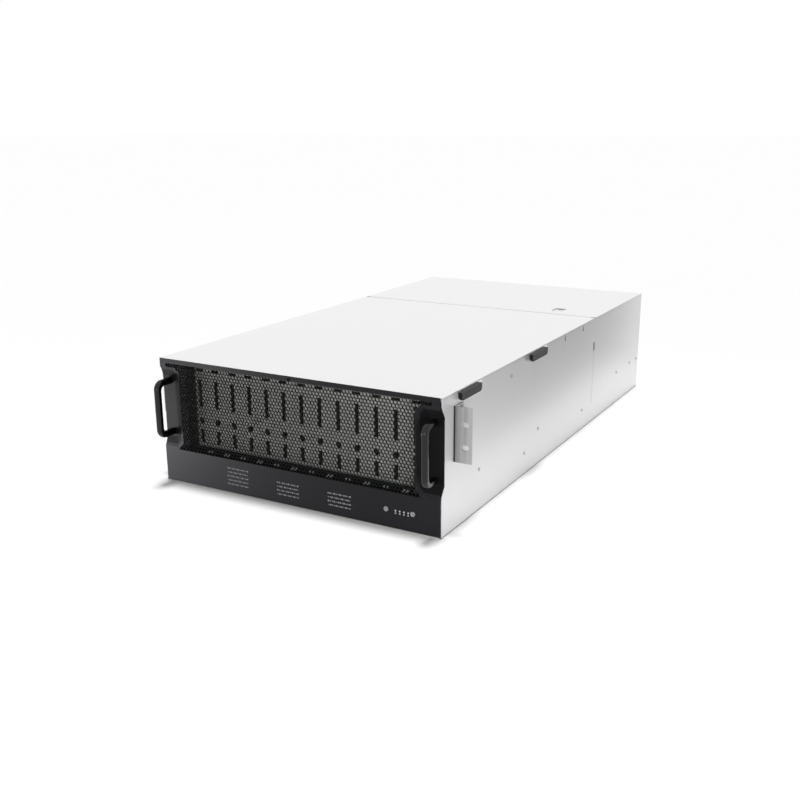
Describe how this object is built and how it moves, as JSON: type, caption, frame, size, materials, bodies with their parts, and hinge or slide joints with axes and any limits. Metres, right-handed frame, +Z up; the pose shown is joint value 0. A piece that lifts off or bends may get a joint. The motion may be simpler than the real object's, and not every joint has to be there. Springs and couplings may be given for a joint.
{
  "type": "rack disk enclosure",
  "caption": "Low steel rack enclosure for upright disk drives loaded from the top, with a perforated black front, pull handles, rack ears, hinged top cover and pull-out rear modules.",
  "frame": {"origin": "middle of the base's underside", "axes": "+X to the right as seen from the front, +Y from the front panel to the back, +Z up"},
  "size_m": [0.4826, 0.855, 0.176],
  "materials": {
    "panel_black": "black powder coat, satin",
    "mesh_black": "black powder coat on perforated sheet",
    "handle_black": "smooth glossy black coating",
    "case_steel": "pale zinc-coated sheet, matt",
    "cage_steel": "zinc-coated sheet",
    "ear_grey": "grey coating",
    "bright_steel": "bright plated steel",
    "grip_black": "moulded, matt",
    "button_grey": "moulded, satin",
    "lens_clear": "moulded light pipe",
    "board_dark": "solder-masked board",
    "connector_black": "moulded",
    "drive_metal": "cast and machined",
    "fan_black": "moulded",
    "supply_grey": "plated sheet",
    "canister_grey": "zinc-coated sheet",
    "release_green": "moulded"
  },
  "bodies": {
    "chassis": {"backplane_boards": "board_dark", "base_pan": "case_steel", "bay_frame": "cage_steel", "cage_front_wall": "cage_steel", "cage_sides": "cage_steel", "carrier_grips": "grip_black", "control_board": "board_dark", "cover_hinge_pin": "bright_steel", "cover_hinge_rear_leaf": "bright_steel", "drive_connectors": "connector_black", "drives_row_1": "drive_metal", "drives_row_2": "drive_metal", "drives_row_3": "drive_metal", "drives_row_4": "drive_metal", "drives_row_5": "drive_metal", "fan_frames": "fan_black", "front_mesh": "mesh_black", "front_panel": "panel_black", "handle_left": "handle_black", "handle_pockets": "panel_black", "handle_right": "handle_black", "handle_screws": "bright_steel", "indicator_lenses": "lens_clear", "mid_wall": "cage_steel", "midplane_board": "board_dark", "rack_ear_left": "ear_grey", "rack_ear_right": "ear_grey", "rear_panel": "case_steel", "row_partitions": "cage_steel", "side_screws": "bright_steel", "side_wall_left": "case_steel", "side_wall_right": "case_steel", "status_board": "board_dark", "status_lenses": "lens_clear"},
    "front_cover": {"top_cover_front": "case_steel", "cover_hinge_front_leaf": "bright_steel"},
    "rear_cover": {"top_cover_rear": "case_steel", "rear_cover_thumbscrews": "bright_steel"},
    "rear_pull": {"rear_cover_pull": "bright_steel"},
    "power_button": {"power_button": "button_grey"},
    "locate_button": {"locate_button": "button_grey"},
    "catch_front_right": {"catch_grip_front_right": "grip_black", "catch_tongue_front_right": "bright_steel"},
    "catch_front_left": {"catch_grip_front_left": "grip_black", "catch_tongue_front_left": "bright_steel"},
    "catch_middle_right": {"catch_grip_middle_right": "grip_black", "catch_tongue_middle_right": "bright_steel"},
    "catch_middle_left": {"catch_grip_middle_left": "grip_black", "catch_tongue_middle_left": "bright_steel"},
    "fan_1": {"fan_rotor_1": "fan_black"},
    "fan_2": {"fan_rotor_2": "fan_black"},
    "fan_3": {"fan_rotor_3": "fan_black"},
    "supply_lower": {"power_supply_lower": "supply_grey"},
    "release_lower": {"power_release_lower": "release_green"},
    "canister_lower": {"canister_lower": "canister_grey"},
    "lever_lower": {"canister_lever_lower": "release_green"},
    "supply_upper": {"power_supply_upper": "supply_grey"},
    "release_upper": {"power_release_upper": "release_green"},
    "canister_upper": {"canister_upper": "canister_grey"},
    "lever_upper": {"canister_lever_upper": "release_green"}
  },
  "joints": [
    {"name": "front_cover_hinge", "type": "hinge", "parent": "chassis", "child": "front_cover", "pos_m": [0, 0.142, 0.174], "axis": [-1, 0, 0], "range_deg": [0, 80]},
    {"name": "rear_cover_slide", "type": "slide", "parent": "chassis", "child": "rear_cover", "axis": [0, 1, 0], "range_m": [0, 0.025]},
    {"name": "rear_pull_hinge", "type": "hinge", "parent": "rear_cover", "child": "rear_pull", "pos_m": [0.1405, 0.172, 0.1745], "axis": [1, 0, 0], "range_deg": [0, 80]},
    {"name": "catch_front_right_slide", "type": "slide", "parent": "chassis", "child": "catch_front_right", "axis": [0, -1, 0], "range_m": [0, 0.008]},
    {"name": "catch_front_left_slide", "type": "slide", "parent": "chassis", "child": "catch_front_left", "axis": [0, -1, 0], "range_m": [0, 0.008]},
    {"name": "catch_middle_right_slide", "type": "slide", "parent": "chassis", "child": "catch_middle_right", "axis": [0, -1, 0], "range_m": [0, 0.008]},
    {"name": "catch_middle_left_slide", "type": "slide", "parent": "chassis", "child": "catch_middle_left", "axis": [0, -1, 0], "range_m": [0, 0.008]},
    {"name": "power_button_press", "type": "slide", "parent": "chassis", "child": "power_button", "axis": [0, 1, 0], "range_m": [0, 0.0015], "stiffness_N_per_m": 900, "springref_m": -0.001},
    {"name": "locate_button_press", "type": "slide", "parent": "chassis", "child": "locate_button", "axis": [0, 1, 0], "range_m": [0, 0.0015], "stiffness_N_per_m": 900, "springref_m": -0.001},
    {"name": "fan_1_spin", "type": "hinge", "parent": "chassis", "child": "fan_1", "pos_m": [-0.136, 0.1482, 0.0612], "axis": [0, 1, 0], "continuous": true},
    {"name": "fan_2_spin", "type": "hinge", "parent": "chassis", "child": "fan_2", "pos_m": [0, 0.1482, 0.0612], "axis": [0, 1, 0], "continuous": true},
    {"name": "fan_3_spin", "type": "hinge", "parent": "chassis", "child": "fan_3", "pos_m": [0.136, 0.1482, 0.0612], "axis": [0, 1, 0], "continuous": true},
    {"name": "supply_lower_slide", "type": "slide", "parent": "chassis", "child": "supply_lower", "axis": [0, 1, 0], "range_m": [0, 0.19]},
    {"name": "release_lower_slide", "type": "slide", "parent": "supply_lower", "child": "release_lower", "axis": [-1, 0, 0], "range_m": [0, 0.003], "stiffness_N_per_m": 700, "springref_m": -0.001},
    {"name": "canister_lower_slide", "type": "slide", "parent": "chassis", "child": "canister_lower", "axis": [0, 1, 0], "range_m": [0, 0.19]},
    {"name": "lever_lower_hinge", "type": "hinge", "parent": "canister_lower", "child": "lever_lower", "pos_m": [-0.1942, 0.4083, 0.0253], "axis": [0, 0, 1], "range_deg": [0, 80]},
    {"name": "supply_upper_slide", "type": "slide", "parent": "chassis", "child": "supply_upper", "axis": [0, 1, 0], "range_m": [0, 0.19]},
    {"name": "release_upper_slide", "type": "slide", "parent": "supply_upper", "child": "release_upper", "axis": [-1, 0, 0], "range_m": [0, 0.003], "stiffness_N_per_m": 700, "springref_m": -0.001},
    {"name": "canister_upper_slide", "type": "slide", "parent": "chassis", "child": "canister_upper", "axis": [0, 1, 0], "range_m": [0, 0.19]},
    {"name": "lever_upper_hinge", "type": "hinge", "parent": "canister_upper", "child": "lever_upper", "pos_m": [-0.1942, 0.4083, 0.0673], "axis": [0, 0, 1], "range_deg": [0, 80]}
  ]
}
